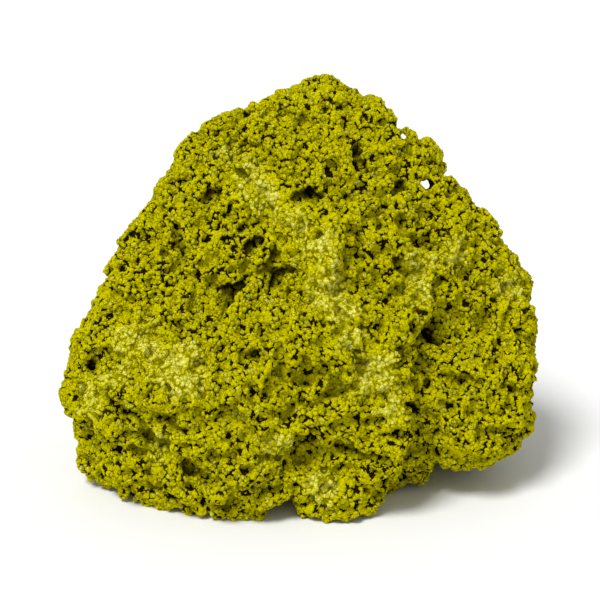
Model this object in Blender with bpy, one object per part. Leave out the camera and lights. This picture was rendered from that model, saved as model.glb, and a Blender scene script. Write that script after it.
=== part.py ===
"""A lump of nontronite, the soft yellow-green clay mineral, as one solid at its real size.

The lump is a rough pyramid of fused knobs. It is shaped round its heart, a point inside it, in face
coordinates: x runs to the right, y up the leaning face and depth towards the side that the face looks to.
Every point of the skin lies at its own distance from the heart, so the skin never crosses itself. The ground
cuts it off flat, and a notch under the foot and two small holes through the shoulder are cut out of it.
"""

import math

import bmesh
import bpy
import numpy as np
from mathutils import Matrix, Vector, noise

MM = 0.001

# The face leans back: its normal points this far above the horizon
FACE_TILT = math.radians(20)
RIGHT = np.array((1.0, 0.0, 0.0))
UP = np.array((0.0, math.sin(FACE_TILT), math.cos(FACE_TILT)))
NEAR = np.array((0.0, -math.cos(FACE_TILT), math.sin(FACE_TILT)))
# The distance that the face's own perspective is taken from, for the two holes that can be seen through
EYE_DISTANCE = 344 * MM

# Driving dimensions
HEART_HEIGHT = 30.0 * MM
NEAR_DEPTH = 30.0 * MM
FAR_DEPTH = 37.0 * MM
SQUARENESS = 2.3
# Broad broken faces that flatten the body: (share of each face's normal to the right, up the face and towards
# its near side, distance from the heart in mm)
BROKEN_FACES = (
    ((0.42, 0.12, 0.90), 28.0),
    ((-0.32, 0.35, 0.88), 27.5),
    ((0.05, -0.45, 0.89), 31.0),
    ((-0.08, 0.30, -0.95), 34.0),
    ((0.78, 0.10, -0.62), 43.0),
    ((-0.75, -0.10, -0.65), 41.0),
    ((0.10, 0.80, -0.59), 46.0),
    ((-0.62, 0.62, -0.48), 41.0),
)
# The edges between the broken faces are sharper for a larger number
EDGE_SHARPNESS = 22

# The lump's outline as its face is seen, from the low left corner: (x, y) from the heart, in millimetres
OUTLINE_MM = (
    (-47.6, -29.6), (-48.1, -22.7), (-49.8, -15.5), (-49.4, -8.7), (-48.3, -3.7), (-46.7, 1.0), (-44.6, 5.6),
    (-41.9, 9.9), (-39.7, 12.8), (-38.0, 16.5), (-37.4, 20.2), (-36.4, 21.5), (-32.9, 22.9), (-31.2, 25.0),
    (-31.2, 27.3), (-29.3, 32.0), (-27.1, 35.5), (-25.8, 37.8), (-22.7, 40.1), (-19.2, 43.8), (-16.1, 45.7),
    (-12.4, 46.1), (-6.6, 49.8), (-2.1, 51.7), (5.2, 53.5), (8.5, 52.3), (10.7, 50.4), (15.5, 49.0),
    (17.8, 47.3), (18.6, 44.8), (19.0, 42.4), (20.2, 41.5), (21.7, 41.9), (26.9, 40.3), (29.1, 39.3),
    (30.6, 36.8), (31.0, 34.5), (33.5, 30.2), (36.2, 26.9), (39.3, 23.8), (43.0, 18.2), (45.5, 14.5),
    (48.3, 11.6), (49.0, 8.7), (48.8, 6.2), (49.8, 2.5), (48.8, -2.1), (46.9, -5.2), (48.3, -6.4),
    (47.9, -10.3), (47.3, -14.0), (48.3, -19.0), (47.5, -22.7), (43.8, -25.8), (39.3, -28.1),
)
# Below the ground the outline would go on round like this. The ground cuts it off, which leaves the foot
UNDERSIDE_MM = (
    (37.4, -29.2), (27.6, -27.8), (26.0, -32.1), (20.6, -34.3), (14.0, -39.0), (8.0, -45.2), (1.6, -48.0),
    (-11.1, -46.6), (-16.9, -42.6), (-23.9, -39.8), (-33.1, -38.1), (-38.9, -33.9), (-43.5, -31.6),
)

# Swells and ridges of the near face: (the points that it runs through, radius, height), in millimetres.
# Each fades to nothing at twice its radius
SWELLS = (
    (((-13.4, 33.1), (-5.2, 23.8), (5.2, 14.5), (6.2, 4.1), (19.6, -3.1), (20.7, -20.7)), 9.0, 2.8),
    (((-37.2, -2.1), (-22.7, -6.2), (-17.6, -9.3)), 9.5, 2.6),
    (((23.8, 13.4), (26.9, 8.3), (41.3, 9.3)), 6.0, 2.0),
    (((-16.0, -33.0), (-11.4, -27.0)), 9.5, 3.6),
    (((5.0, -36.0), (10.3, -30.0)), 8.5, 4.0),
    (((5.2, 48.6), (12.0, 45.0)), 9.0, 1.6),
    (((-27.9, 29.0), (-21.0, 38.0)), 7.0, 1.4),
    (((-36.2, 17.6), (-33.0, 12.0)), 6.5, 1.6),
    (((41.3, -10.3), (40.0, -18.0)), 10.0, 2.4),
)
# Hollows and ledges of the near face, in the same form, with their depth last
HOLLOWS = (
    (((32.0, 8.3), (32.6, -1.0), (27.9, -5.2), (28.9, -14.5), (27.0, -27.9)), 5.5, 4.6),
    (((-19.6, 9.3), (-6.2, 15.5), (-11.4, 20.7)), 6.5, 3.2),
    (((2.1, 27.9), (9.3, 30.0), (11.8, 37.6)), 5.0, 2.6),
    (((-1.0, -25.4), (9.3, -24.8)), 3.2, 2.4),
    (((-5.2, -9.9), (6.2, -12.4)), 4.0, 1.2),
    (((-44.4, -25.8), (-34.1, -25.2), (-22.7, -29.0)), 4.0, 1.8),
    (((20.0, 37.0), (26.0, 31.0)), 5.5, 3.4),
)
# Swells and hollows of the far side
FAR_SWELLS = (
    (((-20.0, 8.0), (-4.0, 24.0), (6.0, 38.0)), 13.0, 3.4),
    (((-26.0, -18.0), (-8.0, -14.0)), 14.0, 3.0),
    (((24.0, -16.0), (36.0, -4.0)), 12.0, 3.0),
)
FAR_HOLLOWS = (
    (((27.0, 33.0), (24.0, 30.0)), 15.0, 9.0),
    (((-36.0, 8.0), (-28.0, 22.0)), 9.0, 3.2),
    (((6.0, 2.0), (4.0, -24.0)), 8.0, 3.6),
)

# Rounded knobs all over the skin, from large to small: (size of a knob in mm, its height in mm)
KNOBS = ((19.0, 3.2), (9.0, 4.2), (5.4, 2.4))
# Where a knob stands neither out of the body nor back from it, as the square of the way to its edge
KNOB_LEVEL = 0.14
# The knobs are held back to this share in a narrow belt along the outline, which has its own knobs
BELT_SHARE = 0.45
BELT_WIDTH = 0.16
# How far along the skin the outline's own knobs reach before they fade, as a share of the near or far depth
OUTLINE_FADE = 0.2
# The outline is smoothed over this many degrees each way where its own knobs have faded
SMOOTHING_DEG = 18

# Steep pits in the near face: (x, y, radius, depth), in millimetres
PITS_MM = (
    (-18.0, 8.9, 3.6, 4.6), (-6.2, 14.9, 3.4, 4.0), (-2.9, 9.1, 3.0, 3.2), (2.1, 27.9, 3.3, 3.8),
    (8.3, 30.0, 3.0, 3.2), (11.8, 37.6, 3.2, 3.4), (-19.6, 28.9, 3.2, 3.2), (-12.4, 20.7, 3.4, 3.4),
    (-5.2, -9.9, 3.2, 3.0), (6.2, -12.4, 3.2, 3.0), (32.4, 1.0, 4.6, 5.4), (38.2, 1.7, 3.2, 3.2),
    (33.1, -10.3, 3.4, 3.6), (-44.0, -7.2, 3.0, 2.8), (-34.1, -25.2, 3.2, 3.2), (-22.7, -29.3, 3.2, 3.0),
    (1.0, -25.8, 3.6, 3.6), (20.2, -4.1, 3.0, 3.0), (11.8, -7.2, 3.0, 3.0), (-9.3, -4.1, 3.0, 2.8),
    (22.0, 32.0, 3.2, 3.0), (8.0, -25.0, 3.2, 3.0), (42.0, -14.0, 3.2, 2.8), (36.5, -20.0, 3.2, 2.8),
    (35.5, 13.0, 3.0, 2.6), (28.0, 19.5, 3.2, 2.6), (-38.0, -14.5, 3.0, 2.4), (-27.0, -18.5, 3.2, 2.6),
    (-14.0, -17.0, 3.0, 2.4), (-30.0, 1.0, 3.0, 2.4), (-27.5, 18.0, 3.0, 2.6), (-13.0, 37.0, 3.0, 2.6),
    (1.0, 43.5, 3.0, 2.6), (15.0, 22.0, 3.2, 2.6), (21.0, 13.5, 3.0, 2.6), (24.5, -17.0, 3.0, 2.6),
    (15.0, -31.0, 3.2, 2.6), (-14.5, -34.0, 3.0, 2.4),
)
# Pits on the other sides, spread evenly by the golden angle: their number, and the radius and depth of the
# smallest and the largest
FAR_PITS = 34
FAR_PIT_SIZES_MM = ((3.0, 2.6), (4.4, 4.6))
# The notch under the foot: its middle, from the ground below the heart, and its half sizes across, in and up
NOTCH_MIDDLE = Vector((-3.6, -28.5, 0.0)) * MM
NOTCH_HALF_SIZES = (3.5 * MM, 8.5 * MM, 4.6 * MM)
# The two holes right through the thin right shoulder: (x, y, radius), in millimetres
HOLES_MM = ((20.8, 40.3, 1.0), (25.6, 30.2, 1.5))
HOLE_SIDES = 10

# The skin's grid: cells along each side of the cube that it is blown up from, and the half sizes of the plain
# egg, to the right, in depth and up the face, over which its points are spread evenly
GRID_CELLS = 30
EGG = Vector((50.0, 29.0, 46.0)) * MM
# A point this near the ground is put on it, so that the cut leaves no slivers
GROUND_SNAP = 0.5 * MM

CLAY_COLOUR = (0.40, 0.365, 0.012, 1.0)
CLAY_ROUGHNESS = 0.95


def clear_scene():
    for thing in list(bpy.data.objects):
        bpy.data.objects.remove(thing, do_unlink=True)


def polar(points_mm):
    """The outline as rising angles and the distances from the heart that go with them, all the way round."""
    points = np.array(points_mm) * MM
    angles = np.arctan2(points[:, 1], points[:, 0])
    order = np.argsort(angles)
    return angles[order], np.hypot(points[:, 0], points[:, 1])[order]


OUTLINE_ANGLES, OUTLINE_RADII = polar(OUTLINE_MM + UNDERSIDE_MM)


def outline_reach(angles):
    """The outline's distance from the heart at these angles."""
    return np.interp(angles, OUTLINE_ANGLES, OUTLINE_RADII, period=2 * math.pi)


def smooth_reach(angles):
    """The outline's distance from the heart with its knobs evened out."""
    turns = np.radians(np.linspace(-SMOOTHING_DEG, SMOOTHING_DEG, 15))
    return np.mean([outline_reach(angles + turn) for turn in turns], axis=0)


def body_reach(across, depth, angles):
    """Distance from the heart to the plain body, for directions with these shares across and in depth."""
    nearness = np.abs(depth)
    kept = np.exp(-((nearness / OUTLINE_FADE) ** 2))
    rim = smooth_reach(angles) * (1 - kept) + outline_reach(angles) * kept
    half_depth = np.where(depth > 0, NEAR_DEPTH, FAR_DEPTH)
    return ((across / rim) ** SQUARENESS + (nearness / half_depth) ** SQUARENESS) ** (-1 / SQUARENESS)


def plain_skin(directions):
    """The plain body with its broken faces, from the heart, in these directions."""
    x = directions @ RIGHT
    y = directions @ UP
    depth = directions @ NEAR
    closeness = (1 / body_reach(np.hypot(x, y), depth, np.arctan2(y, x))) ** EDGE_SHARPNESS
    for (right_share, up_share, near_share), distance in BROKEN_FACES:
        length = math.hypot(right_share, up_share, near_share)
        towards = (right_share * x + up_share * y + near_share * depth) / length
        closeness += (np.clip(towards, 0, 1) / (distance * MM)) ** EDGE_SHARPNESS
    return directions * (closeness ** (-1 / EDGE_SHARPNESS))[:, None]


def face_point(x, y, side):
    """The point of the plain body, from the heart, at (x, y) on the near side (1) or the far side (-1)."""
    shallow, deep = 0.0, 2 * FAR_DEPTH
    for _ in range(30):
        middle = (shallow + deep) / 2
        point = x * RIGHT + y * UP + side * middle * NEAR
        reach = np.linalg.norm(point)
        if reach < np.linalg.norm(plain_skin(point[None, :] / reach)):
            shallow = middle
        else:
            deep = middle
    return x * RIGHT + y * UP + side * middle * NEAR


def along(course_mm, side):
    """Points every couple of millimetres along a swell or a hollow, on the plain body."""
    found = []
    for (x0, y0), (x1, y1) in zip(course_mm, course_mm[1:]):
        steps = max(1, round(math.hypot(x1 - x0, y1 - y0) / 2))
        for step in range(steps + 1):
            share = step / steps
            x = x0 + (x1 - x0) * share
            y = y0 + (y1 - y0) * share
            found.append(face_point(x * MM, y * MM, side))
    return np.array(found)


def form(points, course_mm, radius_mm, height_mm, side):
    """How far one swell or hollow moves each point, from its full height on its course to nothing."""
    course = along(course_mm, side)
    gaps = np.linalg.norm(points[:, None, :] - course[None, :, :], axis=2).min(axis=1)
    share = np.clip(gaps / (2 * radius_mm * MM), 0, 1)
    return height_mm * MM * (1 - share**2) ** 3


def forms(points):
    """How far all the swells and hollows together move each point."""
    moved = np.zeros(len(points))
    for side, raised, sunk in ((1, SWELLS, HOLLOWS), (-1, FAR_SWELLS, FAR_HOLLOWS)):
        for course, radius, height in raised:
            moved += form(points, course, radius, height, side)
        for course, radius, depth in sunk:
            moved -= form(points, course, radius, depth, side)
    return moved


def knobs(points, depth):
    """Round knobs with creases between them, from the way to the nearest of many scattered centres."""
    belt = 1 - (1 - BELT_SHARE) * np.exp(-((depth / BELT_WIDTH) ** 2))
    moved = np.zeros(len(points))
    for size, height in KNOBS:
        cells = points / (size * MM)
        gaps = np.array([noise.voronoi(Vector(cell))[0][0] for cell in cells])
        moved += height * MM * (KNOB_LEVEL - gaps**2)
    return moved * belt


def pit_places():
    """Every pit as its point on the plain body, from the heart, with its radius and its depth."""
    found = [(face_point(x * MM, y * MM, 1), radius * MM, depth * MM) for x, y, radius, depth in PITS_MM]
    golden = math.pi * (3 - math.sqrt(5))
    (least_radius, least_depth), (most_radius, most_depth) = FAR_PIT_SIZES_MM
    for step in range(3 * FAR_PITS):
        height = 1 - 2 * (step + 0.5) / (3 * FAR_PITS)
        level = math.sqrt(1 - height * height)
        way = np.array((math.cos(golden * step) * level, math.sin(golden * step) * level, height))
        if way @ NEAR > -0.12 or way[2] < -0.4:
            continue
        share = (0.618 * step) % 1
        radius = least_radius + (most_radius - least_radius) * share
        depth = least_depth + (most_depth - least_depth) * share
        found.append((plain_skin(way[None, :])[0], radius * MM, depth * MM))
    return found


def pits(points):
    """How far the pits pull each point in: steep walls with a round bottom."""
    moved = np.zeros(len(points))
    for place, radius, depth in pit_places():
        share = np.clip(np.linalg.norm(points - place, axis=1) / radius, 0, 1)
        moved = np.maximum(moved, depth * (1 - share**2) ** 1.5)
    return moved


def skin_points(directions):
    """Points of the finished skin, from the heart, in these directions."""
    plain = plain_skin(directions)
    moved = forms(plain) + knobs(plain, directions @ NEAR) - pits(plain)
    return plain + directions * moved[:, None]


def blown_up_cube(mesh):
    """A cube of even square cells, turned to the face, with its points moved out to the plain egg."""
    bmesh.ops.create_cube(mesh, size=2)
    bmesh.ops.subdivide_edges(mesh, edges=mesh.edges[:], cuts=GRID_CELLS - 1, use_grid_fill=True)
    turned = Matrix((RIGHT, -NEAR, UP)).transposed()
    for vertex in mesh.verts:
        even = Vector([math.tan(share * math.pi / 4) for share in vertex.co])
        vertex.co = turned @ (even.normalized() * EGG)


def lump_mesh():
    mesh = bmesh.new()
    blown_up_cube(mesh)
    heart = np.array((0.0, 0.0, HEART_HEIGHT))
    places = skin_points(np.array([vertex.co.normalized() for vertex in mesh.verts])) + heart
    for vertex, place in zip(mesh.verts, places):
        vertex.co = place
        if abs(vertex.co.z) < GROUND_SNAP:
            vertex.co.z = 0
    bmesh.ops.triangulate(mesh, faces=mesh.faces[:])
    bmesh.ops.recalc_face_normals(mesh, faces=mesh.faces[:])
    return mesh


def cut_at_ground(mesh):
    """Cuts the lump off at the ground and closes it with one flat face."""
    everything = mesh.verts[:] + mesh.edges[:] + mesh.faces[:]
    bmesh.ops.bisect_plane(
        mesh, geom=everything, dist=0.01 * MM, plane_co=(0, 0, 0), plane_no=(0, 0, 1), clear_inner=True
    )
    rim = [edge for edge in mesh.edges if edge.is_boundary]
    bmesh.ops.contextual_create(mesh, geom=rim)
    bmesh.ops.recalc_face_normals(mesh, faces=mesh.faces[:])


def new_object(name, mesh, material=None):
    data = bpy.data.meshes.new(name)
    mesh.to_mesh(data)
    mesh.free()
    thing = bpy.data.objects.new(name, data)
    bpy.context.scene.collection.objects.link(thing)
    if material:
        data.materials.append(material)
    return thing


def facing(direction):
    """A rotation that takes the local Z to this direction."""
    return Vector(direction).to_track_quat("Z", "Y").to_matrix().to_4x4()


def notch_cutter():
    """A slightly uneven arch under the foot."""
    mesh = bmesh.new()
    made = bmesh.ops.create_icosphere(mesh, subdivisions=2, radius=1)["verts"]
    for vertex in made:
        vertex.co *= 1 + 0.2 * noise.noise(vertex.co * 1.7)
        vertex.co = Vector([share * half for share, half in zip(vertex.co, NOTCH_HALF_SIZES)]) + NOTCH_MIDDLE
    return new_object("notch_cutter", mesh)


def hole_cutter():
    """Two rods along the lines of sight through the thin right shoulder."""
    mesh = bmesh.new()
    heart = np.array((0.0, 0.0, HEART_HEIGHT))
    for x, y, radius in HOLES_MM:
        middle = x * MM * RIGHT + y * MM * UP
        sight = Vector(NEAR * EYE_DISTANCE - middle).normalized()
        bmesh.ops.create_cone(
            mesh,
            cap_ends=True,
            segments=HOLE_SIDES,
            radius1=radius * MM,
            radius2=radius * MM,
            depth=2.4 * FAR_DEPTH,
            matrix=Matrix.Translation(heart + middle) @ facing(sight),
        )
    return new_object("hole_cutter", mesh)


def cut_with(lump, cutter):
    cutter.hide_render = True
    cutter.display_type = "WIRE"
    cut = lump.modifiers.new(cutter.name, "BOOLEAN")
    cut.operation = "DIFFERENCE"
    cut.object = cutter


def centre_on_origin(things, lump):
    """Moves everything so that the middle of the lump's box, at the ground, is the origin."""
    corners = np.array(lump.bound_box)
    middle = (corners.min(axis=0) + corners.max(axis=0)) / 2
    for thing in things:
        thing.data.transform(Matrix.Translation((-middle[0], -middle[1], 0)))


def clay_material():
    material = bpy.data.materials.new("nontronite")
    material.use_nodes = True
    shader = material.node_tree.nodes["Principled BSDF"]
    shader.inputs["Base Color"].default_value = CLAY_COLOUR
    shader.inputs["Roughness"].default_value = CLAY_ROUGHNESS
    shader.inputs["Metallic"].default_value = 0
    return material


def main():
    clear_scene()
    mesh = lump_mesh()
    cut_at_ground(mesh)
    lump = new_object("nontronite_lump", mesh, clay_material())
    cutters = [notch_cutter(), hole_cutter()]
    centre_on_origin([lump, *cutters], lump)
    for cutter in cutters:
        cut_with(lump, cutter)


main()
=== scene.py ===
"""Dresses the nontronite lump: porous clay of rounded knobs, the grains that cover it, and the stage.

The solid's skin is the level that the grains' tips reach. The clay is sunk below it, and its knobs and the
grains on them rise back to it.
"""

import math

import bmesh
import bpy
import numpy as np
from bpy.props import FloatProperty, FloatVectorProperty, IntProperty, PointerProperty
from mathutils import Matrix, Vector, noise
from mathutils.bvhtree import BVHTree


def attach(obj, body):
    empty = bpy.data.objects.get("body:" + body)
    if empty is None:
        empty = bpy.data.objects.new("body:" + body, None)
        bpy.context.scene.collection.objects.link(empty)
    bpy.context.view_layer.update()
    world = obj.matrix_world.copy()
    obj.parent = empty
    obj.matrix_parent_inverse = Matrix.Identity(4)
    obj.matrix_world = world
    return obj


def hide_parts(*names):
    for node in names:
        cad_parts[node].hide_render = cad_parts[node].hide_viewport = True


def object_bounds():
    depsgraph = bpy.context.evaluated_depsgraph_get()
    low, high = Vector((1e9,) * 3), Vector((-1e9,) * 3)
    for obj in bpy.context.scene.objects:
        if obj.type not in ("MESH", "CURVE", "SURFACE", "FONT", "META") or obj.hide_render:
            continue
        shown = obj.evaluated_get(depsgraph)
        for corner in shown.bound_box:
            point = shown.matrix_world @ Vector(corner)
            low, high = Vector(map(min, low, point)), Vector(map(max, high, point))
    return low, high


bl_info = {
    "name": "Nontronite lump",
    "version": (1, 0, 0),
    "blender": (4, 5, 0),
    "location": "3D View > Sidebar > Nontronite",
    "description": "Covers the lump's solid with knobbly clay, grains and crumbs, and sets its stage",
    "category": "Object",
}

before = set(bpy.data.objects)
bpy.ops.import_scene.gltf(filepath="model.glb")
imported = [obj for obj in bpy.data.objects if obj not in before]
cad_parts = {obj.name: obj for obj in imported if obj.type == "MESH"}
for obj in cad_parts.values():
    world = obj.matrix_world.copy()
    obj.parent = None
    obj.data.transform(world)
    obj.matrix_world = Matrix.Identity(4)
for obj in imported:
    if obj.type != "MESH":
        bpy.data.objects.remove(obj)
CAD_LOW, CAD_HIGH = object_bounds()

MM = 0.001
LUMP = "nontronite_lump"
BODY = "root"
CORE = "clay_core"

# The photograph's view: it looks down on the lump by this angle, at this point, from this far
VIEW_TILT = math.radians(20)
VIEW_AIM = Vector((0.0, 2.1, 34.8)) * MM
VIEW_DISTANCE = 344 * MM
PHOTO_SIDE = 600
LENS = 100
SENSOR = 36
RIGHT = Vector((1, 0, 0))
UP = Vector((0, math.sin(VIEW_TILT), math.cos(VIEW_TILT)))
NEAR = Vector((0, -math.cos(VIEW_TILT), math.sin(VIEW_TILT)))
EYE = VIEW_AIM + NEAR * VIEW_DISTANCE

# Deep pits of the near face, by their place in the photograph: (across, down, radius in mm)
PITS = (
    (213, 287, 1.1), (270, 258, 1.0), (285, 286, 0.8), (310, 195, 0.4), (340, 185, 0.6), (357, 148, 0.8),
    (205, 190, 0.4), (240, 230, 0.9), (275, 378, 0.8), (330, 390, 0.9), (457, 325, 1.5), (485, 322, 1.0),
    (460, 380, 1.0), (83, 365, 0.6), (135, 452, 0.9), (190, 472, 0.7), (283, 494, 1.8), (305, 455, 1.2),
    (398, 350, 0.8), (357, 365, 0.9), (428, 383, 0.8), (255, 350, 0.7), (330, 163, 0.8), (409, 180, 0.8),
    (268, 492, 1.3), (256, 502, 1.1),
)
# The two holes right through the shoulder, in the same form
HOLES = ((403, 136, 0.5), (426, 183, 0.85))
# Rubbed, pale patches of the near face, in the same form
RUBBED = (
    (243, 178, 2.0), (256, 192, 2.2), (270, 208, 2.0), (318, 240, 2.4), (326, 284, 4.4), (340, 300, 3.0),
    (135, 338, 3.8), (172, 360, 4.2), (186, 376, 3.6), (86, 400, 2.6), (162, 445, 2.2), (376, 376, 3.6),
    (419, 288, 2.4), (424, 262, 2.2), (514, 288, 2.2), (460, 252, 2.0), (228, 150, 1.2), (282, 452, 2.2),
    (322, 486, 2.2), (392, 412, 1.8), (356, 340, 1.6), (112, 372, 2.2), (296, 224, 1.6),
)

# A spot fades out over the first width. Its edge strays by the second length, over stretches of the third.
PIT_EDGE = (0.5 * MM, 0.9 * MM, 1.6 * MM)
RUBBED_EDGE = (3.0 * MM, 1.6 * MM, 3.0 * MM)
# Knobs close up over this width round a rubbed spot
RUBBED_KNOBS = 2.0 * MM

# Worn patches on the far sides: how far apart they lie, how far behind the lump's middle they have faded in,
# the noise over which the clay is worn, and how fast it gets worn over that
FAR_PATCHES = 15 * MM
FAR_FADE = 8 * MM
FAR_LEAST = 0.1
FAR_SLOPE = 4

# The fused clay is cut this much wider than a hole, to leave room for the grains on its rim
HOLE_EASE = 0.15 * MM
# A hole's outline strays by about this share of its radius, over stretches of this length
HOLE_RAGGED = 0.9
HOLE_STRETCH = 0.7 * MM
HOLE_LENGTH = 120 * MM
HOLE_SIDES = 16
# How far past a hole's radius the skin stays up and bears no knobs, valleys aren't deepened, no painted
# shade is laid, and grains are lower
HOLE_SKIN = 1.3 * MM
HOLE_VALLEYS = 3.0 * MM
HOLE_SHADE = 0.8 * MM
HOLE_GRAINS = 0.55 * MM

# The solid's points are merged within this distance, and its faces are divided this many times
MERGE = 0.001 * MM
SKIN_CUTS = 2

# Knobs are tried this densely, before those too near to others are dropped
KNOBS_TRIED = 3.0 / (1.5 * MM) ** 2
# A knob is stretched straight into the clay by the first, and sideways by between the second and the third
KNOB_LENGTH = 1.3
KNOB_NARROW = 0.85
KNOB_WIDE = 1.2
RADIUS_SEED = 11
SINK_SEED = 12
STRETCH_SEED = 13
GAP_SEED = 14

# A valley lies lower than the clay round it, evened out this many times, by at least the first drop. It is
# deepened in full where it lies lower by the second as well.
VALLEY_ROUNDS = 12
VALLEY_LEAST = 0.08 * MM
VALLEY_SPAN = 0.35 * MM

# How open a place is: the share of this many ways out of it that meet no clay within this reach. They start
# this far above the clay, and the widest of them leans by this sine.
WAYS_OUT = 12
OPEN_REACH = 7 * MM
OPEN_START = 0.4 * MM
WIDEST_LEAN = 0.98
# A place is wholly shut, with full painted shade, up to the first share, and wholly open, with none, from
# this much more
SHUT_SHARE = 0.16
SHUT_SPAN = 0.42

# What each point of the clay keeps for the material, besides where it lay before it was raised
KEPT_VALUES = ("recess", "rubbed")

# A rounded cell ends at this distance from its middle, in cells. Its border strays by up to about half the
# second, and this many times over a cell.
CELL_REACH = 0.69
CELL_WARP = 1.15
CELL_STRAYS = 1.3

# The height on its cell, from 0 to 1, at which a grain or crumb meets the skin that it is raised from
SKIN_LEVEL = 0.7
# How much lower grains are where the clay is rubbed, and round a hole
RUBBED_LOWER = 0.45
HOLE_LOWER = 0.7

# A sector's outer border is made of this many straight steps
SECTOR_STEPS = 4

# Noises: how many times each changes over a metre, and its detail
BROAD = (110.0, 4.0)
MEDIUM = (500.0, 3.0)
FINE = (3200.0, 2.0)
RAGGED = (260.0, 5.0)
STREAKED = (1300.0, 2.0)
GRAIN_NOISE = (500.0, 1.0)

# In each pair below, a value is multiplied by the first number, and the second is added
# How high a grain is, by its noise
GRAIN_HEIGHTS = (3.0, -0.5)
# How wide a crack is, by the medium noise, in middling widths. The middling width is a share of the grain.
CRACK_WIDTHS = (9.0, -3.5)
CRACK_WIDTH = 0.08
CRACK_LEAST = 0.001
# How far the clay turns from olive to yellow-green, as a sum over these values. The grain term is painted
# light and shade: each grain is yellower on its top and more olive at its border
MOTTLE_AND_GRAIN_SHADING = {
    "broad": (1.35, -0.4455),
    "medium": (1.3, -0.65),
    "fine": (1.8, -0.9),
    "grain": (0.9, -0.7),
    "rubbed": (0.4, 0.0),
    "own": (0.3, 0.0),
}
# The bump's height, in the same way, and the length that it is counted in
RELIEF = {
    "fine": (1.8, 0.0),
    "crumb": (0.6, 0.0),
    "streak": (1.6, 0.0),
    "grain": (0.9, 0.0),
    "crack": (-0.5, 0.0),
}
BUMP_LENGTH = 0.3 * MM
# How dark the painted shade at the foot of a grain is, by its height
FOOT_SHADE = (-3.3, 1.0)
# How dark the painted shade in the cracks between grains and in those between crumbs is
CRACK_SHADE = 0.5
GROOVE_SHADE = 0.35
# The share of the painted shade that is left where the clay is rubbed: between grains, and in hollows
RUBBED_SHADE = (-0.6, 1.0)
RUBBED_HOLLOW = (-0.4, 1.0)
# How far up its grain, and how far out of the painted shade, dust lies. Kept to the lit tips, it is also a
# painted highlight
TIP_DUST_AND_HIGHLIGHT = (2.6, -1.4)
UNSHADED_DUST_AND_HIGHLIGHT = (-2.0, 1.0)
# How far rubbed places stray, how dusty they are, and how much dust and painted highlight other places' tips
# get by the medium noise
PATCH_STRAY = 2.8
PATCH_DUST = (0.9, -0.4)
BARE_DUST = (5.0, -2.95)
# How much the streaks and the fine noise change the dust and painted highlight, and how strong they are in
# all
STREAK_DUST = 2.6
FINE_DUST = (1.2, -0.6)
DUST_AND_HIGHLIGHT_STRENGTH = 1.25
# Streaks in rubbed patches run this way, and the noise changes slower along it by this share
STREAK_WAY = (RIGHT * 0.8 + UP * 0.6).normalized()
STREAK_STRETCH = 0.75

# The key light comes from this side, and looks this wide from the lump
KEY_SIDE = Vector((-0.38, -0.50, 1.0))
KEY_WIDTH = math.radians(20)
FLOOR_ROUGHNESS = 0.9
FLOOR_SHINE = 0.1
NEAREST_SEEN = 10 * MM


# Values that a user would change

class LumpSizes(bpy.types.PropertyGroup):
    """Sizes of the clay, its knobs and its grains."""

    inset: FloatProperty(
        name="Inset",
        description="How far the clay under the knobs lies below the solid's skin",
        default=1.9 * MM,
        unit="LENGTH",
    )
    pit_depth: FloatProperty(
        name="Pit depth",
        description="How much deeper the clay lies in a pit",
        default=0.8 * MM,
        unit="LENGTH",
    )
    knob_spacing: FloatProperty(
        name="Knob spacing",
        description="Least distance between the middles of two knobs",
        default=2.0 * MM,
        unit="LENGTH",
    )
    knob_small: FloatProperty(
        name="Smallest knob",
        description="Radius of the smallest knob",
        default=1.0 * MM,
        unit="LENGTH",
    )
    knob_large: FloatProperty(
        name="Largest knob",
        description="Radius of the largest knob",
        default=1.7 * MM,
        unit="LENGTH",
    )
    sink_least: FloatProperty(
        name="Least sink",
        description="How far the highest knobs stay below the solid's skin",
        default=0.1 * MM,
        unit="LENGTH",
    )
    sink_most: FloatProperty(
        name="Most sink",
        description="How far the lowest knobs, apart from those in gaps, stay below the solid's skin",
        default=0.8 * MM,
        unit="LENGTH",
    )
    gaps: FloatProperty(
        name="Gaps",
        description="Share of the knobs that lie deep and leave a gap",
        default=0.05,
        min=0,
        max=1,
        subtype="FACTOR",
    )
    voxel: FloatProperty(
        name="Knob cell",
        description="Size of the cells in which the knobs are fused",
        default=0.55 * MM,
        unit="LENGTH",
    )
    kept_faces: FloatProperty(
        name="Kept faces",
        description="Share of the fused knobs' faces that is left after thinning",
        default=0.5,
        min=0.05,
        max=1,
        subtype="FACTOR",
    )
    valley_depth: FloatProperty(
        name="Valley depth",
        description="How much deeper the sharpest valleys between the knobs are made",
        default=0.95 * MM,
        unit="LENGTH",
    )
    grain_size: FloatProperty(
        name="Grain size",
        description="Distance between neighbouring grains",
        default=1.0 * MM,
        unit="LENGTH",
    )
    grain_height: FloatProperty(
        name="Grain height",
        description="How far a middling grain stands over the gaps round it",
        default=0.5 * MM,
        unit="LENGTH",
    )
    crumb_size: FloatProperty(
        name="Crumb size",
        description="Distance between neighbouring crumbs",
        default=0.55 * MM,
        unit="LENGTH",
    )
    crumb_height: FloatProperty(
        name="Crumb height",
        description="How far a crumb stands over the gaps round it",
        default=0.16 * MM,
        unit="LENGTH",
    )
    grain_cell: FloatProperty(
        name="Grain cell",
        description="Size of the cells of the skin that is raised into grains",
        default=0.326 * MM,
        unit="LENGTH",
    )
    sectors: IntProperty(
        name="Sectors",
        description="How many pieces, side by side round the lump, the clay is parted into",
        default=6,
        min=3,
    )
    seed: IntProperty(name="Seed", description="Changes where the knobs lie", default=7)


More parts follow.
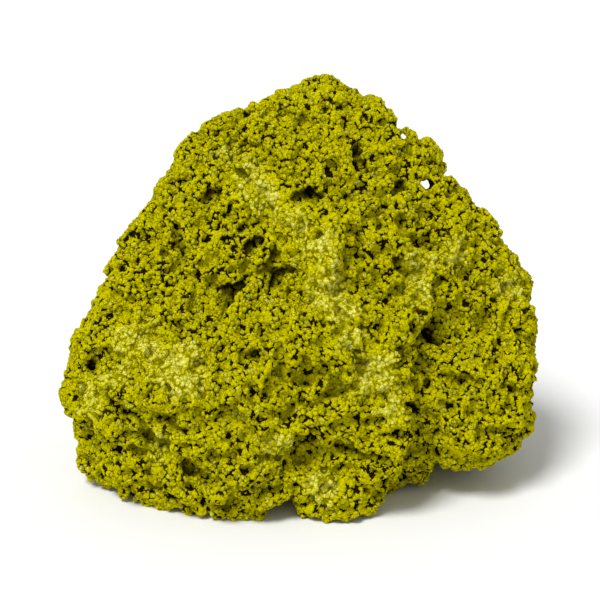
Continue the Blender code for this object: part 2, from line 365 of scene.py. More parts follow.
class LumpColours(bpy.types.PropertyGroup):
    """Colours of the clay."""

    olive: FloatVectorProperty(
        name="Olive",
        description="The clay's darker grains",
        default=(0.58, 0.532, 0.0),
        subtype="COLOR",
        min=0,
        max=1,
    )
    yellow_green: FloatVectorProperty(
        name="Yellow-green",
        description="The clay's brighter grains",
        default=(0.725, 0.685, 0.001),
        subtype="COLOR",
        min=0,
        max=1,
    )
    # This pale colour is dust on rubbed grains, and also a painted highlight on the grains' tips
    rubbed: FloatVectorProperty(
        name="Rubbed",
        description="Pale dust on rubbed grains",
        default=(0.9, 0.87, 0.2),
        subtype="COLOR",
        min=0,
        max=1,
    )
    # Painted shade: this dark colour is mixed into the clay in its gaps, cracks and grain feet in place of
    # real shadow
    shade: FloatVectorProperty(
        name="Shade",
        description="The clay deep in the gaps",
        default=(0.02, 0.0125, 0.0),
        subtype="COLOR",
        min=0,
        max=1,
    )


class StageSettings(bpy.types.PropertyGroup):
    """The floor and the light."""

    floor_colour: FloatVectorProperty(
        name="Floor",
        description="The floor's colour",
        default=(0.86, 0.86, 0.86),
        subtype="COLOR",
        min=0,
        max=1,
    )
    floor_size: FloatProperty(
        name="Floor size",
        description="Length of the floor's sides",
        default=6.0,
        unit="LENGTH",
    )
    key_strength: FloatProperty(name="Key light", description="Strength of the soft key light", default=2.8)
    sky_strength: FloatProperty(name="Fill light", description="Strength of the light all round", default=0.5)


# Node trees

def add_node(tree, kind, inputs=None, **settings):
    """Adds one node, sets it, and joins or fills the inputs, which are named or counted from 0."""
    node = tree.nodes.new(kind)
    for name, value in settings.items():
        setattr(node, name, value)
    for name, value in (inputs or {}).items():
        if isinstance(value, bpy.types.NodeSocket):
            tree.links.new(value, node.inputs[name])
        else:
            node.inputs[name].default_value = value
    return node


def calculated(tree, operation, *values, clamped=False):
    """The result of a Math node on these values."""
    node = add_node(tree, "ShaderNodeMath", dict(enumerate(values)), operation=operation, use_clamp=clamped)
    return node.outputs[0]


def adjusted(tree, value, pair, clamped=False):
    """A value times the pair's first number, plus its second."""
    return calculated(tree, "MULTIPLY_ADD", value, *pair, clamped=clamped)


def weighed_sum(tree, values, weights):
    """The sum of the named values, each adjusted by its own pair."""
    total = 0.0
    for name, pair in weights.items():
        total = calculated(tree, "ADD", total, adjusted(tree, values[name], pair))
    return total


def combined(tree, operation, first, second):
    """The vector that a Vector Math node makes of two others."""
    return add_node(tree, "ShaderNodeVectorMath", {0: first, 1: second}, operation=operation).outputs[0]


def scaled(tree, vector, amount):
    """A vector times a number."""
    return add_node(tree, "ShaderNodeVectorMath", {0: vector, "Scale": amount}, operation="SCALE").outputs[0]


def noisy(tree, place, scale, detail, output=0):
    """A noise, as a number, or as a vector where the output asks for its colour."""
    inputs = {"Vector": place, "Scale": scale, "Detail": detail}
    return add_node(tree, "ShaderNodeTexNoise", inputs).outputs[output]


def blended(tree, share, first, second):
    """A colour between two: the first at 0, and the second at 1."""
    return add_node(tree, "ShaderNodeMix", {0: share, 6: first, 7: second}, data_type="RGBA").outputs[2]


def random_between(tree, low, high, seed):
    """A random number for each point or instance."""
    node = add_node(tree, "FunctionNodeRandomValue", {2: low, 3: high, "Seed": seed}, data_type="FLOAT")
    return node.outputs[1]


def attribute_value(tree, name, kind="FLOAT"):
    """A point's own value, stored under this name, in a Geometry Nodes tree."""
    node = add_node(tree, "GeometryNodeInputNamedAttribute", {"Name": name}, data_type=kind)
    return node.outputs[0]


def nearest_value(tree, mesh, name, kind="FLOAT"):
    """The value stored under this name at another mesh's nearest place."""
    inputs = {"Mesh": mesh, "Value": attribute_value(tree, name, kind)}
    return add_node(tree, "GeometryNodeSampleNearestSurface", inputs, data_type=kind).outputs[0]


def stored(tree, geometry, name, value, kind="FLOAT"):
    """The geometry with this value kept on each of its points."""
    inputs = {"Geometry": geometry, "Name": name, "Value": value}
    node = add_node(tree, "GeometryNodeStoreNamedAttribute", inputs, data_type=kind, domain="POINT")
    return node.outputs[0]


def shifted(tree, geometry, offset):
    """The geometry with each of its points moved by the offset."""
    return add_node(tree, "GeometryNodeSetPosition", {"Geometry": geometry, "Offset": offset}).outputs[0]


def new_geometry_tree(name, numbers=(), objects=(), whole_numbers=()):
    """A Geometry Nodes tree with these named inputs and one for the material, and its two ends."""
    tree = bpy.data.node_groups.new(name, "GeometryNodeTree")
    tree.interface.new_socket(name="Geometry", in_out="INPUT", socket_type="NodeSocketGeometry")
    kinds = {"NodeSocketObject": objects, "NodeSocketFloat": numbers, "NodeSocketInt": whole_numbers}
    for kind, names in kinds.items():
        for input_name in names:
            tree.interface.new_socket(name=input_name, in_out="INPUT", socket_type=kind)
    tree.interface.new_socket(name="Material", in_out="INPUT", socket_type="NodeSocketMaterial")
    tree.interface.new_socket(name="Geometry", in_out="OUTPUT", socket_type="NodeSocketGeometry")
    return tree, tree.nodes.new("NodeGroupInput").outputs, tree.nodes.new("NodeGroupOutput")


def end_tree(tree, geometry, material, end):
    """Makes the geometry's instances real, sets its material, and gives it out as the tree's result."""
    real = add_node(tree, "GeometryNodeRealizeInstances", {"Geometry": geometry}).outputs[0]
    dressed = add_node(tree, "GeometryNodeSetMaterial", {"Geometry": real, "Material": material})
    tree.links.new(dressed.outputs[0], end.inputs[0])


def add_tree(thing, name, tree, values):
    """Gives the object a Geometry Nodes modifier, its inputs found by name and set by identifier."""
    modifier = thing.modifiers.new(name, "NODES")
    modifier.node_group = tree
    for item in tree.interface.items_tree:
        if item.item_type == "SOCKET" and item.in_out == "INPUT" and item.name in values:
            modifier[item.identifier] = values[item.name]


def knobs_tree():
    """Sinks the skin and covers it with balls whose tips lie a random way below the skin."""
    tree, given, end = new_geometry_tree(
        "nontronite knobs",
        numbers=("Inset", "Pit Depth", "Spacing", "Smallest", "Largest", "Least Sink", "Most Sink", "Gaps"),
        whole_numbers=("Seed",),
    )
    pit = attribute_value(tree, "pit")
    hole = attribute_value(tree, "hole")
    rubbed = attribute_value(tree, "rubbed")
    outward = add_node(tree, "GeometryNodeInputNormal").outputs[0]
    away = calculated(tree, "SUBTRACT", 1.0, hole, clamped=True)
    sunk_by = calculated(tree, "MULTIPLY", given["Inset"], away)
    sunk_by = calculated(tree, "ADD", sunk_by, calculated(tree, "MULTIPLY", given["Pit Depth"], pit))
    inward = scaled(tree, outward, calculated(tree, "MULTIPLY", sunk_by, -1.0))
    sunk = shifted(tree, given["Geometry"], inward)
    closed = calculated(tree, "MAXIMUM", pit, hole)
    spread = add_node(
        tree,
        "GeometryNodeDistributePointsOnFaces",
        {
            "Mesh": given["Geometry"],
            "Distance Min": given["Spacing"],
            "Density Max": KNOBS_TRIED,
            "Density Factor": calculated(tree, "SUBTRACT", 1.0, closed, clamped=True),
            "Seed": given["Seed"],
        },
        distribute_method="POISSON",
    )
    radius = random_between(tree, given["Smallest"], given["Largest"], RADIUS_SEED)
    chosen = stored(tree, spread.outputs["Points"], "radius", radius)
    ball_radius = attribute_value(tree, "radius")
    chance = random_between(tree, 0.0, 1.0, SINK_SEED)
    lost = calculated(tree, "LESS_THAN", random_between(tree, 0.0, 1.0, GAP_SEED), given["Gaps"])
    lost = calculated(tree, "MULTIPLY", lost, calculated(tree, "SUBTRACT", 1.0, rubbed, clamped=True))
    span = calculated(tree, "SUBTRACT", given["Most Sink"], given["Least Sink"])
    sink = calculated(tree, "MULTIPLY_ADD", chance, span, given["Least Sink"])
    sink = calculated(tree, "MULTIPLY_ADD", lost, given["Inset"], sink)
    depth = calculated(tree, "MULTIPLY_ADD", ball_radius, KNOB_LENGTH, sink)
    inward = scaled(tree, spread.outputs["Normal"], calculated(tree, "MULTIPLY", depth, -1.0))
    placed = shifted(tree, chosen, inward)
    ball = add_node(tree, "GeometryNodeMeshIcoSphere", {"Radius": 1.0, "Subdivisions": 2})
    narrow = (KNOB_NARROW, KNOB_NARROW, KNOB_LENGTH)
    wide = (KNOB_WIDE, KNOB_WIDE, KNOB_LENGTH)
    stretch = add_node(
        tree, "FunctionNodeRandomValue", {0: narrow, 1: wide, "Seed": STRETCH_SEED}, data_type="FLOAT_VECTOR"
    ).outputs[0]
    balls = add_node(
        tree,
        "GeometryNodeInstanceOnPoints",
        {
            "Points": placed,
            "Instance": ball.outputs["Mesh"],
            "Rotation": spread.outputs["Rotation"],
            "Scale": scaled(tree, stretch, ball_radius),
        },
    )
    real = add_node(tree, "GeometryNodeRealizeInstances", {"Geometry": balls.outputs[0]})
    joined = tree.nodes.new("GeometryNodeJoinGeometry")
    tree.links.new(sunk, joined.inputs[0])
    tree.links.new(real.outputs[0], joined.inputs[0])
    end_tree(tree, joined.outputs[0], given["Material"], end)
    return tree


def cells(tree, place, size, width=None):
    """Rounded cells of this size: how high a point lies on its cell, from 0 to 1, and the cell's own number.

    With a width, as a share of the size, the third result is 1 in the cracks between cells and 0 elsewhere.
    """
    stray = noisy(tree, place, calculated(tree, "DIVIDE", CELL_STRAYS, size), 2.0, "Color")
    stray = combined(tree, "SUBTRACT", stray, (0.5,) * 3)
    stray = scaled(tree, stray, calculated(tree, "MULTIPLY", size, CELL_WARP))
    inputs = {
        "Vector": combined(tree, "ADD", place, stray),
        "Scale": calculated(tree, "DIVIDE", 1.0, size),
    }
    cell = add_node(tree, "ShaderNodeTexVoronoi", inputs)
    reach = calculated(tree, "DIVIDE", cell.outputs["Distance"], CELL_REACH)
    round_off = calculated(tree, "SUBTRACT", 1.0, calculated(tree, "MULTIPLY", reach, reach), clamped=True)
    own = add_node(tree, "ShaderNodeSeparateXYZ", {0: cell.outputs["Color"]}).outputs[0]
    crack = None
    if width is not None:
        border = add_node(tree, "ShaderNodeTexVoronoi", inputs, feature="DISTANCE_TO_EDGE")
        share = calculated(tree, "DIVIDE", border.outputs["Distance"], width)
        crack = calculated(tree, "SUBTRACT", 1.0, share, clamped=True)
    return calculated(tree, "SQRT", round_off), own, crack


def grains_tree():
    """Measures how far each point of the skin moves when the skin is raised into grains and crumbs.

    The skin itself stays as it is, because it is parted into sectors before it is raised.
    """
    tree, given, end = new_geometry_tree(
        "nontronite grains",
        numbers=("Grain Size", "Grain Height", "Crumb Size", "Crumb Height"),
        objects=("Core",),
    )
    core = add_node(tree, "GeometryNodeObjectInfo", {"Object": given["Core"]}).outputs["Geometry"]
    skin = given["Geometry"]
    for name in (*KEPT_VALUES, "hole"):
        skin = stored(tree, skin, name, nearest_value(tree, core, name))
    place = add_node(tree, "GeometryNodeInputPosition").outputs[0]
    outward = add_node(tree, "GeometryNodeInputNormal").outputs[0]
    skin = stored(tree, skin, "unraised", place, "FLOAT_VECTOR")
    unraised = attribute_value(tree, "unraised", "FLOAT_VECTOR")

    grain, _, _ = cells(tree, place, given["Grain Size"])
    rise = calculated(tree, "SUBTRACT", grain, SKIN_LEVEL)
    rise = calculated(tree, "MULTIPLY", rise, given["Grain Height"])
    rise = calculated(tree, "MULTIPLY", rise, adjusted(tree, noisy(tree, place, *GRAIN_NOISE), GRAIN_HEIGHTS))
    for name, lower in (("rubbed", RUBBED_LOWER), ("hole", HOLE_LOWER)):
        rise = calculated(tree, "MULTIPLY", rise, adjusted(tree, attribute_value(tree, name), (-lower, 1.0)))
    skin = shifted(tree, skin, scaled(tree, outward, rise))

    crumb, _, _ = cells(tree, unraised, given["Crumb Size"])
    rise = calculated(tree, "SUBTRACT", crumb, SKIN_LEVEL)
    rise = calculated(tree, "MULTIPLY", rise, given["Crumb Height"])
    skin = shifted(tree, skin, scaled(tree, outward, rise))

    skin = stored(tree, skin, "move", combined(tree, "SUBTRACT", place, unraised), "FLOAT_VECTOR")
    skin = add_node(tree, "GeometryNodeSetPosition", {"Geometry": skin, "Position": unraised}).outputs[0]
    end_tree(tree, skin, given["Material"], end)
    return tree


def sector_tree():
    """Moves one sector of the skin as the whole skin's points are to be moved, and keeps their values."""
    tree, given, end = new_geometry_tree("nontronite sector", objects=("Whole",))
    whole = add_node(tree, "GeometryNodeObjectInfo", {"Object": given["Whole"]}).outputs["Geometry"]
    skin = given["Geometry"]
    for name in KEPT_VALUES:
        skin = stored(tree, skin, name, nearest_value(tree, whole, name))
    place = add_node(tree, "GeometryNodeInputPosition").outputs[0]
    skin = stored(tree, skin, "unraised", place, "FLOAT_VECTOR")
    skin = shifted(tree, skin, nearest_value(tree, whole, "move", "FLOAT_VECTOR"))
    for spare in ("move", "hole"):
        skin = add_node(tree, "GeometryNodeRemoveAttribute", {"Geometry": skin, "Name": spare}).outputs[0]
    end_tree(tree, skin, given["Material"], end)
    return tree


# Materials

def clay_material(colours, grain_size, crumb_size):
    """Dull, earthy clay: mottled olive to yellow-green grains with painted light on their tops, pale dust and
    painted highlight on tips where rubbed, and painted shade in its gaps.
    """
    material = bpy.data.materials.new("nontronite clay")
    material.use_nodes = True
    tree = material.node_tree
    shader = tree.nodes["Principled BSDF"]
    shader.inputs["Roughness"].default_value = 1.0
    shader.inputs["Specular IOR Level"].default_value = 0.0
    place = add_node(tree, "ShaderNodeTexCoord").outputs["Object"]
    broad = noisy(tree, place, *BROAD)
    medium = noisy(tree, place, *MEDIUM)
    fine = noisy(tree, place, *FINE)
    recess = add_node(tree, "ShaderNodeAttribute", attribute_name="recess").outputs["Fac"]
    rubbed = add_node(tree, "ShaderNodeAttribute", attribute_name="rubbed").outputs["Fac"]

    # The cells are the ones that the skin was raised by, so cracks run where the grains meet, and painted
    # shade darkens them
    unraised = add_node(tree, "ShaderNodeAttribute", attribute_name="unraised").outputs["Vector"]
    width = adjusted(tree, medium, [CRACK_WIDTH * number for number in CRACK_WIDTHS])
    width = calculated(tree, "MAXIMUM", width, CRACK_LEAST)
    grain, own, crack = cells(tree, unraised, grain_size, width)
    crumb, _, groove = cells(tree, unraised, crumb_size, width)

    # Streaks come out where the clay is rubbed
    along = add_node(tree, "ShaderNodeVectorMath", {0: place, 1: STREAK_WAY}, operation="DOT_PRODUCT")
    along = calculated(tree, "MULTIPLY", along.outputs["Value"], STREAK_STRETCH)
    squeezed = combined(tree, "SUBTRACT", place, scaled(tree, STREAK_WAY, along))
    streak = calculated(tree, "SUBTRACT", noisy(tree, squeezed, *STREAKED), 0.5)
    streak = calculated(tree, "MULTIPLY", streak, rubbed)

    # Painted shade: the cracks, the grains' feet, the grooves between crumbs and the shut-in hollows are
    # darkened in place of real shadow
    shade = calculated(tree, "MULTIPLY", crack, CRACK_SHADE)
    shade = calculated(tree, "MAXIMUM", shade, adjusted(tree, grain, FOOT_SHADE, clamped=True))
    shade = calculated(tree, "MAXIMUM", shade, calculated(tree, "MULTIPLY", groove, GROOVE_SHADE))
    shade = calculated(tree, "MULTIPLY", shade, adjusted(tree, rubbed, RUBBED_SHADE))
    hollow_shade = calculated(tree, "MULTIPLY", recess, adjusted(tree, rubbed, RUBBED_HOLLOW))
    shade = calculated(tree, "MAXIMUM", hollow_shade, shade)

    # Pale dust lies in ragged patches where the clay is rubbed, and on some tips elsewhere. It is kept to the
    # grains' tips and out of the painted shade, so it is also a painted highlight
    highlit_tip = adjusted(tree, grain, TIP_DUST_AND_HIGHLIGHT, clamped=True)
    highlit_tip = calculated(tree, "MULTIPLY", highlit_tip, adjusted(tree, shade, UNSHADED_DUST_AND_HIGHLIGHT, clamped=True))
    patch = calculated(tree, "SUBTRACT", noisy(tree, place, *RAGGED), 0.5)
    patch = calculated(tree, "MULTIPLY_ADD", patch, PATCH_STRAY, rubbed)
    dust_and_highlight = calculated(tree, "MAXIMUM", adjusted(tree, patch, PATCH_DUST), adjusted(tree, medium, BARE_DUST))
    dust_and_highlight = calculated(tree, "MULTIPLY_ADD", streak, STREAK_DUST, dust_and_highlight)
    dust_and_highlight = calculated(tree, "ADD", dust_and_highlight, adjusted(tree, fine, FINE_DUST))
    dust_and_highlight = calculated(tree, "MULTIPLY", calculated(tree, "MULTIPLY", dust_and_highlight, DUST_AND_HIGHLIGHT_STRENGTH, clamped=True), highlit_tip)

    values = {
        "broad": broad,
        "medium": medium,
        "fine": fine,
        "grain": grain,
        "crumb": crumb,
        "crack": crack,
        "rubbed": rubbed,
        "streak": streak,
        "own": own,
    }
    mottle_and_grain_shading = weighed_sum(tree, values, MOTTLE_AND_GRAIN_SHADING)
    colour = blended(tree, mottle_and_grain_shading, (*colours.olive, 1.0), (*colours.yellow_green, 1.0))
    colour = blended(tree, dust_and_highlight, colour, (*colours.rubbed, 1.0))
    colour = blended(tree, shade, colour, (*colours.shade, 1.0))
    tree.links.new(colour, shader.inputs["Base Color"])
    relief = {"Height": weighed_sum(tree, values, RELIEF), "Strength": 1.0, "Distance": BUMP_LENGTH}
    tree.links.new(add_node(tree, "ShaderNodeBump", relief).outputs[0], shader.inputs["Normal"])
    return material


# Places on the lump

def sight(across, down):
    """The way from the camera through a point of the photograph."""
    step = VIEW_DISTANCE * SENSOR / LENS / PHOTO_SIDE
    middle = PHOTO_SIDE / 2
    return (VIEW_AIM + RIGHT * (across - middle) * step + UP * (middle - down) * step - EYE).normalized()


def seen_points(spots, skin):
    """The points of the skin that are seen at these places of the photograph, with their radii."""
    found = []
    for across, down, radius in spots:
        place = skin.ray_cast(EYE, sight(across, down))[0]
        if place is None:
            raise RuntimeError(f"nothing of the lump is seen at {across}, {down}")
        found.append((np.array(place), radius * MM))
    return found


def closeness(points, spots, soft):
    """How much each point belongs to the nearest spot: 1 inside it, and falling to 0 over the soft width."""
    most = np.zeros(len(points))
    for place, radius in spots:
        gaps = np.linalg.norm(points - place, axis=1)
        most = np.maximum(most, np.clip((radius + soft - gaps) / soft, 0, 1))
    return most


def ragged_closeness(points, spots, edge):
    """How much each point belongs to the nearest spot, when the spots have ragged edges."""
    soft, amount, size = edge
    moved = points.copy()
    for number, place in enumerate(points):
        moved[number] += np.array(noise.noise_vector(Vector(place) / size)) * amount
    return closeness(moved, spots, soft)


def hole_closeness(points, margin):
    """1 for each point that lies nearer to a hole's line of sight than its radius and this margin."""
    inside = np.zeros(len(points))
    for across, down, radius in HOLES:
        way = np.array(sight(across, down))
        rest = points - np.array(EYE)
        gaps = np.linalg.norm(rest - np.outer(rest @ way, way), axis=1)
        inside[gaps < radius * MM + margin] = 1
    return inside


# Meshes

def mesh_points(mesh):
    """The mesh's points, one in each row."""
    points = np.empty(len(mesh.vertices) * 3)
    mesh.vertices.foreach_get("co", points)
    return points.reshape(-1, 3)


def set_points(mesh, points):
    """Moves the mesh's points to these places."""
    mesh.vertices.foreach_set("co", points.ravel())
    mesh.update()


def edge_ends(mesh):
    """The numbers of each edge's first point, and those of its second."""
    edges = np.empty(len(mesh.edges) * 2, dtype=int)
    mesh.edges.foreach_get("vertices", edges)
    return edges.reshape(-1, 2).T


def store(mesh, name, values):
    """Keeps one number for each of the mesh's points."""
    mesh.attributes.new(name, "FLOAT", "POINT").data.foreach_set("value", values.astype(np.float32))


def placed_object(name, data):
    """A new object in the scene."""
    thing = bpy.data.objects.new(name, data)
    bpy.context.scene.collection.objects.link(thing)
    return thing


def placed_mesh(name, shell):
    """The shell as a new object in the scene. The shell is used up."""
    data = bpy.data.meshes.new(name)
    shell.to_mesh(data)
    shell.free()
    return placed_object(name, data)


def finished_mesh(thing, name):
    """The object as its modifiers leave it, as a new plain object. The old one is removed."""
    bpy.context.view_layer.update()
    graph = bpy.context.evaluated_depsgraph_get()
    data = bpy.data.meshes.new_from_object(
        thing.evaluated_get(graph), preserve_all_data_layers=True, depsgraph=graph
    )
    data.name = name
    old = thing.data
    bpy.data.objects.remove(thing)
    bpy.data.meshes.remove(old)
    if not data.polygons:
        raise RuntimeError(f"{name} is empty")
    return placed_object(name, data)


def add_fuse(thing, size):
    """Gives the object a modifier that fuses its shells in cells of this size."""
    fuse = thing.modifiers.new("fuse", "REMESH")
    fuse.mode = "VOXEL"
    fuse.voxel_size = size
    return fuse


def add_cut(thing, cutter, operation):
    """Gives the object a modifier that cuts it by the cutter."""
    cut = thing.modifiers.new("cut", "BOOLEAN")
    cut.object = cutter
    cut.operation = operation
    cut.solver = "MANIFOLD"


def keep_inside(mesh):
    """Holds every point inside the solid's box, and so above the ground."""
    set_points(mesh, np.clip(mesh_points(mesh), np.array(CAD_LOW), np.array(CAD_HIGH)))


def without_bubbles(mesh):
    """Takes out the walls of the bubbles that are shut inside the mesh."""
    first, second = edge_ends(mesh)
    island = np.arange(len(mesh.vertices))
    while True:
        lowest = np.minimum(island[first], island[second])
        spread = island.copy()
        np.minimum.at(spread, first, lowest)
        np.minimum.at(spread, second, lowest)
        spread = spread[spread]
        if np.array_equal(spread, island):
            break
        island = spread
    inner = island != np.bincount(island).argmax()
    shell = bmesh.new()
    shell.from_mesh(mesh)
    dropped = [corner for corner, drop in zip(shell.verts, inner) if drop]
    bmesh.ops.delete(shell, geom=dropped, context="VERTS")
    shell.to_mesh(mesh)
    shell.free()


def evened(mesh, values, rounds):
    """The points' values, each averaged with its neighbours' this many times."""
    first, second = edge_ends(mesh)
    size = len(values)
    count = 1 + np.bincount(first, minlength=size) + np.bincount(second, minlength=size)
    for _ in range(rounds):
        near = np.bincount(first, values[second], size) + np.bincount(second, values[first], size)
        values = (values + near) / count
    return values


# The lump's skin, its knobs and its holes

def solid_skin():
    """The solid's mesh, ready for rays and for finding its nearest face."""
    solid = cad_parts[LUMP].data
    return BVHTree.FromPolygons([v.co for v in solid.vertices], [p.vertices for p in solid.polygons])


def skin_copy():
    """The solid's mesh, merged into one closed skin and divided finely enough to carry the pits' edges."""
    shell = bmesh.new()
    shell.from_mesh(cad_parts[LUMP].data)
    bmesh.ops.remove_doubles(shell, verts=shell.verts[:], dist=MERGE)
    for _ in range(SKIN_CUTS):
        bmesh.ops.subdivide_edges(shell, edges=shell.edges[:], cuts=1, use_grid_fill=True)
    return placed_mesh("knobs", shell)


def hole_cutter():
    """A ragged rod along each hole's line of sight, as one object."""
    shell = bmesh.new()
    for across, down, radius in HOLES:
        way = sight(across, down)
        turn = way.to_track_quat("Z", "Y").to_matrix().to_4x4()
        made = bmesh.ops.create_cone(
            shell,
            cap_ends=True,
            cap_tris=True,
            segments=HOLE_SIDES,
            radius1=radius * MM + HOLE_EASE,
            radius2=radius * MM + HOLE_EASE,
            depth=HOLE_LENGTH,
            matrix=Matrix.Translation(EYE + way * VIEW_DISTANCE) @ turn,
        )
        for corner in made["verts"]:
            rest = corner.co - EYE
            sideways = rest - way * rest.dot(way)
            corner.co += sideways * noise.noise(sideways / HOLE_STRETCH) * HOLE_RAGGED
    return placed_mesh("hole cutter", shell)


def deepen_valleys(mesh, depth):
    """Sinks the places between the knobs straight into the lump, the sharpest of them by this depth."""
    skin = solid_skin()
    points = mesh_points(mesh)
    nearest = [skin.find_nearest(Vector(point)) for point in points]
    inward = -np.array([found[1] for found in nearest])
    below = np.array([found[3] for found in nearest])
    drop = below - evened(mesh, below, VALLEY_ROUNDS)
    sharp = np.clip((drop - VALLEY_LEAST) / VALLEY_SPAN, 0, 1) * (1 - hole_closeness(points, HOLE_VALLEYS))
    set_points(mesh, points + inward * (sharp * depth)[:, None])


def ways_over(outward):
    """Directions spread evenly over the half space on this side, more of them straight out."""
    side = outward.orthogonal().normalized()
    other = outward.cross(side)
    for number in range(WAYS_OUT):
        lean = math.sqrt((number + 0.5) / WAYS_OUT) * WIDEST_LEAN
        turn = number * math.pi * (3 - math.sqrt(5))
        yield side * lean * math.cos(turn) + other * lean * math.sin(turn) + outward * math.sqrt(1 - lean**2)


def openness(mesh):
    """How open each point of the clay is, from 0 deep in a gap to 1 on a knob's top."""
    clay = BVHTree.FromPolygons([v.co for v in mesh.vertices], [p.vertices for p in mesh.polygons])
    free = np.zeros(len(mesh.vertices))
    for number, corner in enumerate(mesh.vertices):
        start = corner.co + corner.normal * OPEN_START
        ways = ways_over(corner.normal)
        free[number] = sum(clay.ray_cast(start, way, OPEN_REACH)[0] is None for way in ways) / WAYS_OUT
    return evened(mesh, free, 1)


def measure_clay(mesh):
    """Stores on the clay how rubbed and how near to a hole each of its points is, and how much painted shade
    it takes by how shut in it is.
    """
    points = mesh_points(mesh)
    # Painted shade: the more shut in a point is, the darker the material paints it
    shut = 1 - np.clip((openness(mesh) - SHUT_SHARE) / SHUT_SPAN, 0, 1)
    shut *= 1 - hole_closeness(points, HOLE_SHADE)
    store(mesh, "recess", shut * shut * (3 - 2 * shut))
    worn = np.array([noise.noise(Vector(point) / FAR_PATCHES) for point in points])
    far = np.clip(points[:, 1] / FAR_FADE, 0, 1) * np.clip((worn - FAR_LEAST) * FAR_SLOPE, 0, 1)
    near = ragged_closeness(points, seen_points(RUBBED, solid_skin()), RUBBED_EDGE)
    store(mesh, "rubbed", np.maximum(near, far))
    store(mesh, "hole", hole_closeness(points, HOLE_GRAINS))


# Sectors

def sector_borders(mesh, count):
    """Angles round the lump between which equal shares of the mesh lie."""
    points = mesh_points(mesh)
    angles = np.arctan2(points[:, 1], points[:, 0])
    inner = np.quantile(angles, np.arange(1, count) / count)
    return [-math.pi, *inner, math.pi]


def wedge(start, end):
    """A closed wedge round the upright axis, from the ground up to the solid's top."""
    reach = (CAD_HIGH - CAD_LOW).length
    outline = [Vector((0, 0, 0))]
    for number in range(SECTOR_STEPS + 1):
        angle = start + (end - start) * number / SECTOR_STEPS
        outline.append(Vector((math.cos(angle), math.sin(angle), 0)) * reach)
    shell = bmesh.new()
    floor = shell.faces.new([shell.verts.new(point) for point in outline])
    raised = bmesh.ops.extrude_face_region(shell, geom=[floor])["geom"]
    for part in raised:
        if isinstance(part, bmesh.types.BMVert):
            part.co.z = CAD_HIGH.z
    bmesh.ops.recalc_face_normals(shell, faces=shell.faces[:])
    bmesh.ops.triangulate(shell, faces=shell.faces[:])
    return placed_mesh("wedge", shell)


def sector_piece(whole, start, end, name, tree, material):
    """The part of the clay in one sector, raised, and closed where it is parted from its neighbours."""
    thing = placed_object("sector", whole.data.copy())
    cutter = wedge(start, end)
    add_cut(thing, cutter, "INTERSECT")
    add_tree(thing, "raise", tree, {"Whole": whole, "Material": material})
    piece = finished_mesh(thing, name)
    bpy.data.objects.remove(cutter)
    mesh = piece.data
    outer = np.empty(len(mesh.polygons))
    mesh.attributes["outer"].data.foreach_get("value", outer)
    mesh.polygons.foreach_set("use_smooth", outer > 0.5)
    mesh.attributes.remove(mesh.attributes["outer"])
    mesh.materials.clear()
    mesh.materials.append(material)
    mesh.polygons.foreach_set("material_index", np.zeros(len(mesh.polygons), dtype=int))
    keep_inside(mesh)
    return piece


# Operators

class NONTRONITE_OT_core(bpy.types.Operator):
    """Make the porous clay of rounded knobs, with its pits and holes"""

    bl_idname = "nontronite.core"
    bl_label = "Clay core"

    def execute(self, context):
        sizes = context.scene.nontronite_sizes
        skin = solid_skin()
        thing = skin_copy()
        points = mesh_points(thing.data)
        store(thing.data, "pit", ragged_closeness(points, seen_points(PITS, skin), PIT_EDGE))
        store(thing.data, "hole", hole_closeness(points, HOLE_SKIN))
        store(thing.data, "rubbed", closeness(points, seen_points(RUBBED, skin), RUBBED_KNOBS))
        values = {
            "Inset": sizes.inset,
            "Pit Depth": sizes.pit_depth,
            "Spacing": sizes.knob_spacing,
            "Smallest": sizes.knob_small,
            "Largest": sizes.knob_large,
            "Least Sink": sizes.sink_least,
            "Most Sink": sizes.sink_most,
            "Gaps": sizes.gaps,
            "Seed": sizes.seed,
        }
        add_tree(thing, "knobs", knobs_tree(), values)
        add_fuse(thing, sizes.voxel)
        thing.modifiers.new("thin", "DECIMATE").ratio = sizes.kept_faces
        cutter = hole_cutter()
        add_cut(thing, cutter, "DIFFERENCE")
        core = finished_mesh(thing, CORE)
        bpy.data.objects.remove(cutter)
        without_bubbles(core.data)
        deepen_valleys(core.data, sizes.valley_depth)
        measure_clay(core.data)
        return {"FINISHED"}


class NONTRONITE_OT_clay(bpy.types.Operator):
    """Part the core's skin into sectors, and raise each into grains and crumbs"""

    bl_idname = "nontronite.clay"
    bl_label = "Grains"

    def execute(self, context):
        sizes = context.scene.nontronite_sizes
        core = bpy.data.objects[CORE]
        thing = placed_object("skin", core.data.copy())
        add_fuse(thing, sizes.grain_cell).use_smooth_shade = True
        thing = finished_mesh(thing, "skin")
        without_bubbles(thing.data)
        material = clay_material(context.scene.nontronite_colours, sizes.grain_size, sizes.crumb_size)
        values = {
            "Core": core,
            "Grain Size": sizes.grain_size,
            "Grain Height": sizes.grain_height,
            "Crumb Size": sizes.crumb_size,
            "Crumb Height": sizes.crumb_height,
            "Material": material,
        }
        add_tree(thing, "grains", grains_tree(), values)
        whole = finished_mesh(thing, "whole")
        outer = whole.data.attributes.new("outer", "FLOAT", "FACE")
        outer.data.foreach_set("value", np.ones(len(whole.data.polygons)))
        borders = sector_borders(whole.data, sizes.sectors)
        tree = sector_tree()
        for number in range(sizes.sectors):
            name = f"clay_{number + 1}"
            piece = sector_piece(whole, borders[number], borders[number + 1], name, tree, material)
            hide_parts(LUMP)
            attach(piece, BODY)
        bpy.data.objects.remove(whole)
        bpy.data.objects.remove(core)
        return {"FINISHED"}


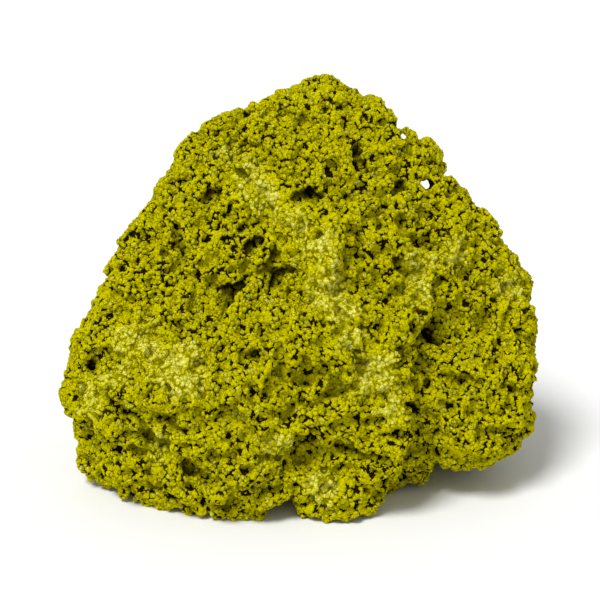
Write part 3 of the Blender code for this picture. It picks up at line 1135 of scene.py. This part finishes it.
class NONTRONITE_OT_stage(bpy.types.Operator):
    """Make the floor, the soft light and the camera"""

    bl_idname = "nontronite.stage"
    bl_label = "Stage"

    def execute(self, context):
        settings = context.scene.nontronite_stage
        half = settings.floor_size / 2
        data = bpy.data.meshes.new("floor")
        corners = [(-half, -half, 0), (half, -half, 0), (half, half, 0), (-half, half, 0)]
        data.from_pydata(corners, [], [(0, 1, 2, 3)])
        floor = placed_object("floor", data)
        paper = bpy.data.materials.new("pale paper")
        paper.use_nodes = True
        shader = paper.node_tree.nodes["Principled BSDF"]
        shader.inputs["Base Color"].default_value = (*settings.floor_colour, 1.0)
        shader.inputs["Roughness"].default_value = FLOOR_ROUGHNESS
        shader.inputs["Specular IOR Level"].default_value = FLOOR_SHINE
        data.materials.append(paper)

        key = bpy.data.lights.new("key", "SUN")
        key.energy = settings.key_strength
        key.angle = KEY_WIDTH
        lamp = placed_object("key", key)
        lamp.rotation_euler = KEY_SIDE.to_track_quat("Z", "Y").to_euler()

        world = bpy.data.worlds.new("studio")
        world.use_nodes = True
        sky = world.node_tree.nodes["Background"]
        sky.inputs["Color"].default_value = (1.0, 1.0, 1.0, 1.0)
        sky.inputs["Strength"].default_value = settings.sky_strength
        context.scene.world = world

        view = bpy.data.cameras.new("camera")
        view.lens = LENS
        view.sensor_width = SENSOR
        view.clip_start = NEAREST_SEEN
        camera = placed_object("camera", view)
        camera.matrix_world = Matrix.Translation(EYE) @ Matrix((RIGHT, UP, NEAR)).transposed().to_4x4()
        context.scene.camera = camera
        context.scene.view_settings.view_transform = "Standard"
        return {"FINISHED"}


class NONTRONITE_PT_panel(bpy.types.Panel):
    """Lists the steps that dress the lump"""

    bl_label = "Nontronite"
    bl_idname = "NONTRONITE_PT_panel"
    bl_space_type = "VIEW_3D"
    bl_region_type = "UI"
    bl_category = "Nontronite"

    def draw(self, context):
        for step in STEPS:
            self.layout.operator(step.bl_idname)


STEPS = (NONTRONITE_OT_core, NONTRONITE_OT_clay, NONTRONITE_OT_stage)
SETTINGS = {
    "nontronite_sizes": LumpSizes,
    "nontronite_colours": LumpColours,
    "nontronite_stage": StageSettings,
}
CLASSES = (*SETTINGS.values(), *STEPS, NONTRONITE_PT_panel)


def register():
    for kind in CLASSES:
        bpy.utils.register_class(kind)
    for name, kind in SETTINGS.items():
        setattr(bpy.types.Scene, name, PointerProperty(type=kind))


def unregister():
    for name in SETTINGS:
        delattr(bpy.types.Scene, name)
    for kind in reversed(CLASSES):
        bpy.utils.unregister_class(kind)


def main():
    register()
    bpy.ops.nontronite.core()
    bpy.ops.nontronite.clay()
    bpy.ops.nontronite.stage()


if __name__ == "__main__":
    main()
